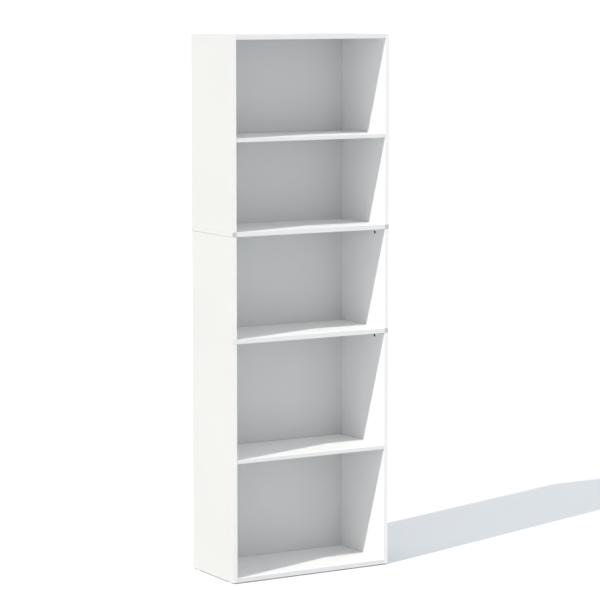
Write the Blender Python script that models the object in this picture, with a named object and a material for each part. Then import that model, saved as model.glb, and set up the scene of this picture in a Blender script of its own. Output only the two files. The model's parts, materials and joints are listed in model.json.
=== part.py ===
"""A white five-tier bookcase that packs flat.

Each side is three boards stacked end to end. Two full-width fixed shelves lie between them, and cam
bolts run up through those shelves. The top and bottom panels stand between the sides, two loose
shelves rest on pins, and three hardboard sheets close the back.

Metres, +Z up. The front faces -Y, and the origin is on the floor under the middle of the case.
"""

import math

import bmesh
import bpy
from mathutils import Matrix, Vector

# Overall size of the case, with its back and its glides
WIDTH = 0.600
DEPTH = 0.280
HEIGHT = 1.800

# Boards
BOARD = 0.015
LOOSE_SHELF = 0.012
BACK_SHEET = 0.003

# Height of each shelf's underside above the floor
FIXED_SHELVES = {"lower_fixed_shelf": 0.797, "upper_fixed_shelf": 1.148}
LOOSE_SHELVES = {"lower_adjustable_shelf": 0.400, "upper_adjustable_shelf": 1.455}
LOOSE_SHELF_SIDE_GAP = 0.0008
LOOSE_SHELF_FRONT_GAP = 0.001
LOOSE_SHELF_BACK_GAP = 0.002

# Fixings stand in two rows, this far in from a board's front edge and from its rear edge
FIXING_INSET = 0.064

# Cam locks and their bolts
CAM_DIAMETER = 0.010
CAM_SETBACK = 0.015
CAM_BEHIND_BOLT = 0.0045
BOLT_DIAMETER = 0.005
BOLT_THREAD = 0.011
BOLT_HEAD = 0.0058
BOLT_WAIST = 0.0034
BOLT_WAIST_START = 0.0014
BOLT_TIP_CHAMFER = 0.001
HEAD_GAP = 0.0005
SLOT_GAP = 0.0004

# Shelf pins and the spare holes above and below each of them
PIN_DIAMETER = 0.0048
PIN_PEG = 0.007
PIN_COLLAR = 0.009
PIN_COLLAR_LENGTH = 0.001
PIN_PEG_LENGTH = 0.009
PIN_SPIGOT = 0.008
PIN_FLAT_STEP = 0.0003
PIN_CHAMFER = 0.0007
PIN_PITCH = 0.032
PIN_SPARES = 1

# Glides under the sides
GLIDE_HEIGHT = 0.003
GLIDE_DIAMETER = 0.013
GLIDE_STEM = 0.0048
GLIDE_STEM_LENGTH = 0.009
GLIDE_CHAMFER = 0.0009
GLIDE_INSET = 0.030

# Clearances
TOUCH = 0.0003
DRILL_GAP = 0.0003
DRILL_END_GAP = 0.0004
DRILL_START = 0.001

# Roundness, and the steps of a cam's slot. A bolt's head is cut back at its corners by a share of its radius.
HEAD_ROUNDING = 0.55
HOLE_SIDES = 12
TURNED_SIDES = 12
CAM_SIDES = 16
SLOT_STEPS = 12
SHARP_ANGLE = math.radians(35)
WELD = 1e-6

# Planes that several pieces share
FRONT = -DEPTH / 2
BOARD_REAR = DEPTH / 2 - BACK_SHEET - TOUCH
CASE_BOTTOM = GLIDE_HEIGHT + TOUCH
INNER_FACE = WIDTH / 2 - BOARD
SIDE_MIDDLE = WIDTH / 2 - BOARD / 2
CAM_DEPTH = BOARD / 2 + CAM_BEHIND_BOLT
PIN_FLAT = PIN_DIAMETER / 2 + PIN_FLAT_STEP
PIN_DROP = TOUCH + PIN_FLAT

SIDES = {"left": -1, "right": 1}
ROWS = {"front": FRONT + FIXING_INSET, "rear": BOARD_REAR - FIXING_INSET}


# Materials


def finish(name, colour, roughness, metallic=0.0):
    material = bpy.data.materials.new(name)
    material.use_nodes = True
    shader = material.node_tree.nodes["Principled BSDF"]
    shader.inputs["Base Color"].default_value = (*colour, 1.0)
    shader.inputs["Roughness"].default_value = roughness
    shader.inputs["Metallic"].default_value = metallic
    return material


def white_foil():
    return finish("white_foil", (0.86, 0.86, 0.85), 0.45)


def white_hardboard():
    return finish("white_hardboard", (0.80, 0.80, 0.79), 0.55)


def dark_zinc():
    return finish("dark_zinc", (0.045, 0.045, 0.05), 0.5, 0.6)


def bright_steel():
    return finish("bright_steel", (0.62, 0.62, 0.60), 0.35, 1.0)


def clear_nylon():
    return finish("clear_nylon", (0.82, 0.83, 0.82), 0.35)


def white_nylon():
    return finish("white_nylon", (0.78, 0.78, 0.76), 0.5)


# Meshes and objects


def clear_scene():
    for obj in list(bpy.data.objects):
        bpy.data.objects.remove(obj)


def place(name, mesh, matrix):
    obj = bpy.data.objects.new(name, mesh)
    obj.matrix_world = matrix
    bpy.context.scene.collection.objects.link(obj)
    return obj


def mesh_from(bm, name, material=None):
    mesh = bpy.data.meshes.new(name)
    bmesh.ops.recalc_face_normals(bm, faces=bm.faces)
    bm.to_mesh(mesh)
    bm.free()
    if material:
        mesh.materials.append(material)
    return mesh


def board(name, low, high, material):
    """A plain board between two opposite corners."""
    low = Vector(low)
    high = Vector(high)
    size = high - low
    bm = bmesh.new()
    bmesh.ops.create_cube(bm, size=1.0, matrix=Matrix.Diagonal((*size, 1.0)))
    mesh = mesh_from(bm, name, material)
    return place(name, mesh, Matrix.Translation((low + high) / 2))


def add_rod(bm, start, end, radius, sides):
    """A closed cylinder from start to end."""
    start = Vector(start)
    end = Vector(end)
    along = end - start
    turn = along.to_track_quat("Z", "Y").to_matrix().to_4x4()
    bmesh.ops.create_cone(
        bm,
        cap_ends=True,
        segments=sides,
        radius1=radius,
        radius2=radius,
        depth=along.length,
        matrix=Matrix.Translation((start + end) / 2) @ turn,
    )


def turned(profile, sides):
    """A closed shape turned about Z from (radius, height) points that start and end on the axis."""
    bm = bmesh.new()
    points = [bm.verts.new((radius, 0.0, height)) for radius, height in profile]
    edges = [bm.edges.new(pair) for pair in zip(points, points[1:])]
    bmesh.ops.spin(
        bm,
        geom=points + edges,
        axis=(0.0, 0.0, 1.0),
        cent=(0.0, 0.0, 0.0),
        angle=math.tau,
        steps=sides,
        use_merge=True,
    )
    bmesh.ops.remove_doubles(bm, verts=bm.verts, dist=WELD)
    return bm


def cut(obj, name, cutter):
    """Takes the shapes in the bmesh cutter, which stand in world space, out of obj."""
    helper = place(name, mesh_from(cutter, name), Matrix())
    helper.hide_render = True
    helper.display_type = "WIRE"
    modifier = obj.modifiers.new(name, "BOOLEAN")
    modifier.operation = "DIFFERENCE"
    modifier.solver = "EXACT"
    modifier.object = helper
    return helper


def drill(obj, name, holes):
    """Drills each (mouth, way in, depth, radius). The holes of one call must not run into each other."""
    bm = bmesh.new()
    for mouth, inwards, depth, radius in holes:
        mouth = Vector(mouth)
        inwards = Vector(inwards)
        add_rod(bm, mouth - inwards * DRILL_START, mouth + inwards * depth, radius, HOLE_SIDES)
    cut(obj, name, bm)


def turned_smooth(mesh):
    mesh.shade_smooth()
    mesh.set_sharp_from_angle(angle=SHARP_ANGLE)
    return mesh


# Fixings, each made once and shared by its copies


def cam_mesh():
    """A cam lock. Its face is at Z = 0 and looks along +Z, and its bolt comes in along +X.

    A slot runs round it from the bolt to the mouth on the far side, so half a turn frees the head.
    """
    radius = CAM_DIAMETER / 2
    hollow = BOLT_HEAD / 2 + HEAD_GAP
    bolt_level = Vector((0.0, 0.0, -BOARD / 2))
    half_hollow = Vector((0.0, 0.0, BOLT_HEAD / 2 + SLOT_GAP))
    half_slot = BOLT_WAIST / 2 + SLOT_GAP
    reach = radius + DRILL_START

    bm = bmesh.new()
    add_rod(bm, (0.0, 0.0, -CAM_DEPTH), (0.0, 0.0, 0.0), radius, CAM_SIDES)
    drum = place("cam_drum", mesh_from(bm, "cam_drum", dark_zinc()), Matrix())

    inside = bmesh.new()
    add_rod(inside, bolt_level - half_hollow, bolt_level + half_hollow, hollow, CAM_SIDES)
    helpers = [drum, cut(drum, "cam_hollow", inside)]

    mouth = bmesh.new()
    way_out = Vector((-reach, 0.0, 0.0))
    add_rod(mouth, bolt_level, bolt_level + way_out, BOLT_HEAD / 2 + DRILL_GAP, HOLE_SIDES)
    helpers.append(cut(drum, "cam_mouth", mouth))

    margin = math.asin(half_slot / hollow)
    sweep = math.pi + 2 * margin
    slot = bmesh.new()
    corners = [slot.verts.new(bolt_level - Vector((0.0, 0.0, half_slot)))]
    for step in range(SLOT_STEPS + 1):
        angle = margin - sweep * step / SLOT_STEPS
        rim = Vector((math.cos(angle) * reach, math.sin(angle) * reach, -half_slot))
        corners.append(slot.verts.new(bolt_level + rim))
    sector = slot.faces.new(corners)
    raised = bmesh.ops.extrude_face_region(slot, geom=[sector])["geom"]
    risen = [item for item in raised if isinstance(item, bmesh.types.BMVert)]
    bmesh.ops.translate(slot, verts=risen, vec=(0.0, 0.0, 2 * half_slot))
    helpers.append(cut(drum, "cam_slot", slot))

    graph = bpy.context.evaluated_depsgraph_get()
    mesh = bpy.data.meshes.new_from_object(drum.evaluated_get(graph))
    mesh.name = "cam"
    for helper in helpers:
        bpy.data.objects.remove(helper)
    return mesh


def bolt_mesh(name, passes, material):
    """A cam bolt along +Z. Its head is centred on the origin, and passes is how far it runs to its thread."""
    head = BOLT_HEAD / 2
    waist = BOLT_WAIST / 2
    shank = BOLT_DIAMETER / 2
    waist_end = CAM_DIAMETER / 2 + DRILL_GAP
    end = passes + BOLT_THREAD
    corner = head * HEAD_ROUNDING
    profile = [
        (0.0, -head),
        (head - corner, -head),
        (head, corner - head),
        (head, 0.0),
        (waist, BOLT_WAIST_START),
        (waist, waist_end),
        (shank, waist_end + (shank - waist)),
        (shank, end - BOLT_TIP_CHAMFER),
        (shank - BOLT_TIP_CHAMFER, end),
        (0.0, end),
    ]
    return turned_smooth(mesh_from(turned(profile, TURNED_SIDES), name, material))


def pin_mesh():
    """A shelf pin along +Z: its spigot runs down from the origin, and its peg stands up with a flat on +X."""
    spigot = PIN_DIAMETER / 2
    collar = PIN_COLLAR / 2
    peg = PIN_PEG / 2
    collar_top = TOUCH + PIN_COLLAR_LENGTH
    profile = [
        (0.0, -PIN_SPIGOT),
        (spigot - PIN_CHAMFER, -PIN_SPIGOT),
        (spigot, PIN_CHAMFER - PIN_SPIGOT),
        (spigot, TOUCH),
        (collar, TOUCH),
        (collar, collar_top),
        (peg, collar_top),
        (peg, PIN_PEG_LENGTH - PIN_CHAMFER),
        (peg - PIN_CHAMFER, PIN_PEG_LENGTH),
        (0.0, PIN_PEG_LENGTH),
    ]
    bm = turned(profile, TURNED_SIDES)
    everything = bm.verts[:] + bm.edges[:] + bm.faces[:]
    sliced = bmesh.ops.bisect_plane(
        bm,
        geom=everything,
        dist=1e-7,
        plane_co=(PIN_FLAT, 0.0, 0.0),
        plane_no=(1.0, 0.0, 0.0),
        clear_outer=True,
    )
    rim = [item for item in sliced["geom_cut"] if isinstance(item, bmesh.types.BMEdge)]
    bmesh.ops.contextual_create(bm, geom=rim)
    return turned_smooth(mesh_from(bm, "shelf_pin", clear_nylon()))


def glide_mesh():
    """A push-in glide that stands on Z = 0, with its stem upwards."""
    foot = GLIDE_DIAMETER / 2
    stem = GLIDE_STEM / 2
    tip = CASE_BOTTOM + GLIDE_STEM_LENGTH
    profile = [
        (0.0, 0.0),
        (foot - GLIDE_CHAMFER, 0.0),
        (foot, GLIDE_CHAMFER),
        (foot, GLIDE_HEIGHT),
        (stem, GLIDE_HEIGHT),
        (stem, tip - GLIDE_CHAMFER),
        (stem - GLIDE_CHAMFER, tip),
        (0.0, tip),
    ]
    return turned_smooth(mesh_from(turned(profile, TURNED_SIDES), "glide", white_nylon()))


# Where each fixing goes


def turned_to(place_at, along_z, along_x):
    """A placement whose own Z and X axes point along two given directions."""
    along_z = Vector(along_z)
    along_x = Vector(along_x)
    along_y = along_z.cross(along_x)
    turn = Matrix((along_x, along_y, along_z)).transposed()
    return Matrix.Translation(place_at) @ turn.to_4x4()


def side_sections():
    """Each section's name, bottom and top, from the floor up."""
    lower, upper = FIXED_SHELVES.values()
    return (
        ("lower", CASE_BOTTOM, lower - TOUCH),
        ("middle", lower + BOARD + TOUCH, upper - TOUCH),
        ("upper", upper + BOARD + TOUCH, HEIGHT),
    )


def bays():
    """The clear height of each section, between the boards that close it."""
    lower, upper = FIXED_SHELVES.values()
    return {
        "lower": (CASE_BOTTOM + BOARD, lower),
        "middle": (lower + BOARD, upper),
        "upper": (upper + BOARD, HEIGHT - BOARD),
    }


def pin_heights(underside, bay):
    """Heights of the pin holes for one loose shelf: its own, and the spares that the bay has room for."""
    own = underside - PIN_DROP
    room = PIN_COLLAR / 2
    steps = range(-PIN_SPARES, PIN_SPARES + 1)
    heights = [own + step * PIN_PITCH for step in steps]
    return [height for height in heights if bay[0] + room < height < bay[1] - room]


def end_panels():
    """Underside of the panels that stand between the sides."""
    return {"bottom_panel": CASE_BOTTOM, "top_panel": HEIGHT - BOARD}


# Boards with their holes


def bolt_entry(mouth, inwards):
    """The bore that a bolt's head comes in through, as far as the cam's own hole."""
    return mouth, inwards, CAM_SETBACK, BOLT_HEAD / 2 + 2 * DRILL_GAP


def thread_hole(mouth, inwards):
    return mouth, inwards, BOLT_THREAD + DRILL_END_GAP, BOLT_DIAMETER / 2 + DRILL_GAP


def cam_hole(mouth, inwards):
    return mouth, inwards, CAM_DEPTH + DRILL_END_GAP, CAM_DIAMETER / 2 + DRILL_GAP


def side_holes(side, section, bottom, top):
    """The holes of one side section: those that keep clear of each other, and those that meet a cam's."""
    outwards = (side, 0.0, 0.0)
    inner = side * INNER_FACE
    middle = side * SIDE_MIDDLE
    apart = []
    entries = []
    for y in ROWS.values():
        if section != "upper":
            apart.append(cam_hole((inner, y, top + TOUCH - CAM_SETBACK), outwards))
            entries.append(bolt_entry((middle, y, top), (0.0, 0.0, -1.0)))
        if section != "lower":
            apart.append(thread_hole((middle, y, bottom), (0.0, 0.0, 1.0)))
        for underside in LOOSE_SHELVES.values():
            if bottom < underside < top:
                for height in pin_heights(underside, bays()[section]):
                    radius = PIN_DIAMETER / 2 + DRILL_GAP
                    depth = PIN_SPIGOT + DRILL_END_GAP
                    apart.append(((inner, y, height), outwards, depth, radius))
        for underside in end_panels().values():
            if bottom <= underside < top:
                apart.append(thread_hole((inner, y, underside + BOARD / 2), outwards))
    if section == "lower":
        for y in glide_rows().values():
            radius = GLIDE_STEM / 2 + DRILL_GAP
            depth = GLIDE_STEM_LENGTH + DRILL_END_GAP
            apart.append(((middle, y, bottom), (0.0, 0.0, 1.0), depth, radius))
    return apart, entries


def make_sides(material):
    for side_name, side in SIDES.items():
        across = sorted((side * INNER_FACE, side * WIDTH / 2))
        for section, bottom, top in side_sections():
            name = f"{side_name}_side_{section}"
            low = (across[0], FRONT, bottom)
            high = (across[1], BOARD_REAR, top)
            obj = board(name, low, high, material)
            apart, entries = side_holes(side, section, bottom, top)
            drill(obj, f"{name}_holes", apart)
            if entries:
                drill(obj, f"{name}_entries", entries)


def make_end_panels(material):
    """The top and bottom panels, with their cams in their undersides."""
    half = INNER_FACE - TOUCH
    for name, underside in end_panels().items():
        low = (-half, FRONT, underside)
        high = (half, BOARD_REAR, underside + BOARD)
        obj = board(name, low, high, material)
        cams = []
        entries = []
        for side in SIDES.values():
            for y in ROWS.values():
                cam_x = side * (INNER_FACE - CAM_SETBACK)
                cams.append(cam_hole((cam_x, y, underside), (0.0, 0.0, 1.0)))
                end = (side * half, y, underside + BOARD / 2)
                entries.append(bolt_entry(end, (-side, 0.0, 0.0)))
        drill(obj, f"{name}_cam_holes", cams)
        drill(obj, f"{name}_entries", entries)


def make_fixed_shelves(material):
    """The two shelves that lie right across, between the side sections."""
    for name, underside in FIXED_SHELVES.items():
        low = (-WIDTH / 2, FRONT, underside)
        high = (WIDTH / 2, BOARD_REAR, underside + BOARD)
        obj = board(name, low, high, material)
        radius = BOLT_DIAMETER / 2 + DRILL_GAP
        through = BOARD + DRILL_START
        holes = []
        for side in SIDES.values():
            for y in ROWS.values():
                mouth = (side * SIDE_MIDDLE, y, underside)
                holes.append((mouth, (0.0, 0.0, 1.0), through, radius))
        drill(obj, f"{name}_holes", holes)


def make_loose_shelves(material):
    half = INNER_FACE - LOOSE_SHELF_SIDE_GAP
    for name, underside in LOOSE_SHELVES.items():
        low = (-half, FRONT + LOOSE_SHELF_FRONT_GAP, underside)
        high = (half, BOARD_REAR - LOOSE_SHELF_BACK_GAP, underside + LOOSE_SHELF)
        board(name, low, high, material)


def make_back(material):
    """Three sheets that meet behind the middle of the fixed shelves."""
    lower, upper = FIXED_SHELVES.values()
    joints = [lower + BOARD / 2, upper + BOARD / 2]
    bottoms = [CASE_BOTTOM] + [joint + TOUCH / 2 for joint in joints]
    tops = [joint - TOUCH / 2 for joint in joints] + [HEIGHT]
    for section, bottom, top in zip(("lower", "middle", "upper"), bottoms, tops):
        low = (-WIDTH / 2, DEPTH / 2 - BACK_SHEET, bottom)
        high = (WIDTH / 2, DEPTH / 2, top)
        board(f"back_sheet_{section}", low, high, material)


# Fixings in their places


def make_shelf_fixings(cam, bolt):
    """Cams in the tops of the side sections, with bolts up through the fixed shelves."""
    for shelf, underside in FIXED_SHELVES.items():
        for side_name, side in SIDES.items():
            for row, y in ROWS.items():
                label = f"{shelf}_{side_name}_{row}"
                height = underside - CAM_SETBACK
                into_bay = (-side, 0.0, 0.0)
                face = (side * (INNER_FACE + TOUCH), y, height)
                place(f"cam_{label}", cam, turned_to(face, into_bay, (0.0, 0.0, 1.0)))
                head = (side * SIDE_MIDDLE, y, height)
                place(f"bolt_{label}", bolt, Matrix.Translation(head))


def make_panel_fixings(cam, bolt):
    """Cams in the undersides of the top and bottom panels, with bolts screwed into the sides."""
    for panel, underside in end_panels().items():
        for side_name, side in SIDES.items():
            for row, y in ROWS.items():
                label = f"{panel}_{side_name}_{row}"
                outwards = (side, 0.0, 0.0)
                cam_x = side * (INNER_FACE - CAM_SETBACK)
                face = (cam_x, y, underside + TOUCH)
                place(f"cam_{label}", cam, turned_to(face, (0.0, 0.0, -1.0), outwards))
                head = (cam_x, y, underside + BOARD / 2)
                place(f"bolt_{label}", bolt, turned_to(head, outwards, (0.0, 0.0, 1.0)))


def make_pins(pin):
    for shelf, underside in LOOSE_SHELVES.items():
        for side_name, side in SIDES.items():
            for row, y in ROWS.items():
                mouth = (side * INNER_FACE, y, underside - PIN_DROP)
                label = f"{shelf}_{side_name}_{row}"
                place(f"pin_{label}", pin, turned_to(mouth, (-side, 0.0, 0.0), (0.0, 0.0, 1.0)))


def glide_rows():
    return {"front": FRONT + GLIDE_INSET, "rear": BOARD_REAR - GLIDE_INSET}


def make_glides(glide):
    for side_name, side in SIDES.items():
        for row, y in glide_rows().items():
            place(f"glide_{side_name}_{row}", glide, Matrix.Translation((side * SIDE_MIDDLE, y, 0.0)))


def main():
    clear_scene()
    foil = white_foil()
    make_sides(foil)
    make_end_panels(foil)
    make_fixed_shelves(foil)
    make_loose_shelves(foil)
    make_back(white_hardboard())

    steel = bright_steel()
    cam = cam_mesh()
    shelf_bolt = bolt_mesh("shelf_bolt", CAM_SETBACK + BOARD + TOUCH, steel)
    panel_bolt = bolt_mesh("panel_bolt", CAM_SETBACK, steel)
    make_shelf_fixings(cam, shelf_bolt)
    make_panel_fixings(cam, panel_bolt)
    make_pins(pin_mesh())
    make_glides(glide_mesh())


main()
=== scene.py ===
import json
import math

import bmesh
import bpy
from mathutils import Matrix, Vector


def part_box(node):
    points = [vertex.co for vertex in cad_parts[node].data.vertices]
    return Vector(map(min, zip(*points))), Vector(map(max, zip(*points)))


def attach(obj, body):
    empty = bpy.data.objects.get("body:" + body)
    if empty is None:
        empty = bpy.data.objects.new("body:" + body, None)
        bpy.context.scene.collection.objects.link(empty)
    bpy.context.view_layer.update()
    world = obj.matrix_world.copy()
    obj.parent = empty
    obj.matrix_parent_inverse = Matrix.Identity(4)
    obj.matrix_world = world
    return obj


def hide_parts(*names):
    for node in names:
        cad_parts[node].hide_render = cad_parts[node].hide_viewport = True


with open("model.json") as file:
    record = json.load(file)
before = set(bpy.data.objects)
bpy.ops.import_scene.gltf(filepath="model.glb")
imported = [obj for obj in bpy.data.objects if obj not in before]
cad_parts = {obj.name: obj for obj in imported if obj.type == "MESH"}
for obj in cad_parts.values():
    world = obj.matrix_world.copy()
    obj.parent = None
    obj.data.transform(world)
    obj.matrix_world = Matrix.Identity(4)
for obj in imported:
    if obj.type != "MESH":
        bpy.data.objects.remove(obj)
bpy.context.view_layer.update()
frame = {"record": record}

bl_info = {
    "name": "Five-Tier Bookcase",
    "version": (1, 0, 0),
    "blender": (4, 5, 0),
    "location": "View3D > Sidebar > Bookcase",
    "description": "Builds the visible pieces of a white five-tier bookcase round its frame",
    "category": "Object",
}

# Axes and directions
X, Y, Z = range(3)
RIGHT = (1.0, 0.0, 0.0)
REARWARDS = (0.0, 1.0, 0.0)
UP = (0.0, 0.0, 1.0)
DOWN = (0.0, 0.0, -1.0)

# Which side, row, section and shelf each piece belongs to
SIDES = {"left": -1, "right": 1}
ROWS = ("front", "rear")
CORNERS = [(side_name, side, row) for side_name, side in SIDES.items() for row in ROWS]
SECTIONS = ("lower", "middle", "upper")
FIXED_ABOVE = {"lower": "lower_fixed_shelf", "middle": "upper_fixed_shelf"}
FIXED_BELOW = {"middle": "lower_fixed_shelf", "upper": "upper_fixed_shelf"}
OPEN_SEAM = "upper_fixed_shelf"
# The one crossing of a fixed shelf's end over a side's edge whose band gets no painted shadow
PLAIN_CROSSING = "lower_fixed_shelf_left"
PANEL_OF = {"lower": "bottom_panel", "upper": "top_panel"}
LOOSE_OF = {"lower": "lower_adjustable_shelf", "upper": "upper_adjustable_shelf"}
FIXED_SHELVES = tuple(FIXED_ABOVE.values())
LOOSE_SHELVES = tuple(LOOSE_OF.values())
END_PANELS = tuple(PANEL_OF.values())
BAY_OF = {
    "lower": ("bottom_panel", "lower_fixed_shelf"),
    "upper": ("upper_fixed_shelf", "top_panel"),
}
BODY_OF = {
    node: body
    for body, nodes in frame["record"]["behaviour"]["bodies"].items()
    for node in nodes
}

# The sizes of the frame's boards and fittings, in metres
BOARD = 0.015
TOUCH = 0.0003
CAM_RADIUS = 0.005
CAM_DEPTH = 0.012
CAM_SETBACK = 0.015
BOLT_HEAD = 0.0029
BOLT_WAIST = 0.0017
BOLT_WAIST_START = 0.0014
BOLT_SHANK = 0.0025
BOLT_THREAD = 0.011
BOLT_TIP = 0.001
PIN_SPIGOT = 0.008
PIN_SPIGOT_RADIUS = 0.0024
PIN_PEG = 0.009
PIN_PEG_RADIUS = 0.0035
PIN_COLLAR = 0.001
PIN_COLLAR_RADIUS = 0.0045
PIN_FLAT = 0.0027
PIN_PITCH = 0.032
GLIDE_FOOT = 0.003
GLIDE_RADIUS = 0.0065
GLIDE_STEM = 0.0024
GLIDE_TIP = 0.0123
GLIDE_STEM_LENGTH = 0.009

# Clearances in and round the fittings, and the cutters' overshoot, in metres
SLOT_GAP = 0.0004
HEAD_GAP = 0.0006
DRILL_GAP = 0.0003
DRILL_END_GAP = 0.0004
DRILL_START = 0.001
DIMPLE_DEPTH = 0.0008
DIMPLE_GAP = 0.0004

# Small shapes on the bands and fittings, in metres or as shares of a size
BAND_ROUNDING = 0.7
HEAD_ROUNDING = 0.55
DRUM_ROUNDING = 0.00035
CROSS_ARM = 0.0029
ARROW_PLACE = 0.0038
ARROW_RADIUS = 0.0006
ARROW_DEPTH = 0.0012
ARROW_LIFT = 0.0002
BOLT_CROWN = 0.0012
THREAD_DEPTH = 0.0006
THREAD_STOPS = (0.30, 0.45, 0.85, 1.0)
PIN_ROUNDING = 0.0007
PIN_RIBS = (-0.0062, -0.0044, -0.0026)
PIN_RIB_STOPS = (0.0002, 0.0009, 0.0011, 0.0014)
PIN_CHAMFER = 0.0002
PIN_COLLAR_ROUNDING = 0.0003
GLIDE_ROUNDING = 0.0009
GLIDE_CHAMFER = 0.0003
GLIDE_BARBS = (0.0045, 0.0065, 0.0085)
GLIDE_BARB_HEIGHT = 0.0012
GLIDE_BARB_FOOT = 0.0004
GLIDE_POINT = 0.0009
NAIL_SHAFT = ((0.0, -0.016), (0.0007, -0.0145), (0.0007, -0.0012), (0.0011, -0.0008))
NAIL_BRIM = -0.0005
NAIL_ROUNDING = 0.0003
NAIL_DOME = ((0.55, -0.00013), (0.0, -0.00006))

# A cap for a spare pin hole: a short plug with a thin domed cover, as (radius, height) points
CAP_PROFILE = (
    (0.0, -0.006),
    (0.0019, -0.006),
    (0.0023, -0.0053),
    (0.0023, 0.00003),
    (0.0040, 0.00003),
    (0.0041, 0.0001),
    (0.0038, 0.0002),
    (0.0028, 0.0003),
    (0.0014, 0.00036),
    (0.0, 0.00038),
)

# Roundness and tolerances
BORE_SIDES = 32
TURNED_SIDES = 32
NAIL_SIDES = 24
DRUM_SIDES = 48
SLOT_STEPS = 32
BEVEL_STEPS = 2
ROUND_STEPS = 3
SQUARE_ANGLE = math.radians(60)
SMOOTH_ANGLE = math.radians(40)
SHORT_EDGE = 0.005
FLAT = 0.999
EDGE_ON = 0.3
NEAR = 1e-6
WELD = 1e-7


# Settings


def colour_setting(name, description, default):
    return bpy.props.FloatVectorProperty(
        name=name,
        description=description,
        default=default,
        min=0.0,
        max=1.0,
        size=3,
        subtype="COLOR",
    )


def number_setting(name, description, default, least, most, **shown):
    """A number between two limits, with its unit or subtype where it has one."""
    return bpy.props.FloatProperty(
        name=name, description=description, default=default, min=least, max=most, **shown
    )


def length_setting(*setting):
    return number_setting(*setting, precision=5, unit="LENGTH")


class BookcaseBoards(bpy.types.PropertyGroup):
    edge_radius: length_setting(
        "Edge Radius", "Rounding of the boards' ordinary edges", 0.00025, 0.00005, 0.001
    )
    joint_radius: length_setting(
        "Joint Radius", "Rounding where one side section meets the shelf above or below it",
        0.0001, 0.00002, 0.002,
    )
    joint_gap: length_setting(
        "Joint Gap", "Hairline left where a side section meets a fixed shelf",
        0.00004, 0.00002, 0.0003,
    )
    seam_height: length_setting(
        "Seam Height", "How far the upper fixed shelf's end bands stop above the open seam",
        0.0004, 0.0, 0.001,
    )
    band_thickness: length_setting(
        "Band Thickness", "Thickness of the edge band glued to each visible edge",
        0.0004, 0.0002, 0.002,
    )
    band_gap: length_setting(
        "Glue Line", "Glue line between a board and its edge band", 0.0001, 0.00005, 0.0005
    )
    band_radius: length_setting(
        "Band Radius", "Rounding of an edge band's outer corners", 0.00025, 0.00005, 0.001
    )


# The foils and bands are one white foil in lit and shaded copies, each colour lighter or darker
# for how the key light falls on its faces: painted light and shade
class BookcaseFinishes(bpy.types.PropertyGroup):
    # Painted light: the upper faces of the shelves and the bottom panel get a brighter copy of the
    # white foil
    shelf_color: colour_setting(
        "Shelf Foil", "Bright white foil on the upper faces of the shelves and the bottom panel",
        (0.93, 0.93, 0.926),
    )
    # Painted shade: the undersides get a darker grey copy of the white foil, standing for the
    # shade under the boards and in the gap below the case
    underside_shade_color: colour_setting(
        "Backing Foil", "Plainer, greyer foil on the undersides of the shelves and panels",
        (0.56, 0.56, 0.558),
    )
    # Painted shade: the top gets a darker copy of the white foil, set against the key light that
    # falls on it
    top_color: colour_setting(
        "Top Foil", "White foil on the top of the bookcase", (0.65, 0.648, 0.64)
    )
    # Painted light and shade: the sides' inner faces get a lighter copy and their sunlit outer
    # faces a darker one
    inner_color: colour_setting(
        "Inner Foil", "White foil on the sides' inner faces", (0.81, 0.81, 0.808)
    )
    outer_color: colour_setting(
        "Outer Foil", "White foil on the sides' outer faces", (0.553, 0.546, 0.528)
    )
    # Painted light and shade: the side and shelf bands are further copies, each lighter or darker
    # for how the light falls on them
    band_color: colour_setting(
        "Side Band", "White band on the front edges of the sides", (0.725, 0.722, 0.715)
    )
    shelf_band_color: colour_setting(
        "Shelf Band", "White band on the front edges of the shelves and panels",
        (0.66, 0.658, 0.653),
    )
    # Painted shadow: a grey copy of the band where a fixed shelf's end crosses a side's edge,
    # standing for the shade of a recess there
    joint_shadow_color: colour_setting(
        "Joint Band", "Greyer band where a fixed shelf's end crosses the edge of a side",
        (0.455, 0.455, 0.458),
    )
    core_color: colour_setting(
        "Chipboard", "Bare core in the holes and on the hidden edges", (0.50, 0.36, 0.21)
    )
    # Partly real, partly painted shade: white lacquer on the back sheets, made darker for the
    # shade inside the bays
    back_color: colour_setting(
        "Back Lacquer", "White lacquer on the face of the back sheets", (0.628, 0.631, 0.633)
    )
    hardboard_color: colour_setting(
        "Bare Hardboard", "Bare brown rear of the back sheets", (0.33, 0.21, 0.12)
    )


class BookcaseFittings(bpy.types.PropertyGroup):
    cam_color: colour_setting("Cam Zinc", "Blackened zinc of the cam locks", (0.02, 0.02, 0.022))
    steel_color: colour_setting(
        "Steel", "Plated steel of the cam bolts and the nails", (0.60, 0.60, 0.58)
    )
    pin_color: colour_setting("Pin Nylon", "Pale nylon of the shelf pins", (0.80, 0.81, 0.80))
    glide_color: colour_setting(
        "Glide Nylon", "White nylon of the glides and the hole caps", (0.84, 0.84, 0.83)
    )
    thread_pitch: length_setting(
        "Thread Pitch", "Distance from one ring of a cam bolt's thread to the next",
        0.0011, 0.0005, 0.003,
    )
    cross_width: length_setting(
        "Cross Width", "Width of the screwdriver cross in a cam lock", 0.0011, 0.0005, 0.002
    )
    cross_depth: length_setting(
        "Cross Depth", "Depth of the screwdriver cross in a cam lock", 0.0022, 0.0005, 0.0035
    )
    nail_spacing: length_setting(
        "Nail Spacing", "Longest distance from one back nail to the next", 0.13, 0.04, 0.4
    )
    nail_head: length_setting("Nail Head", "Radius of a back nail's head", 0.0026, 0.001, 0.005)


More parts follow.
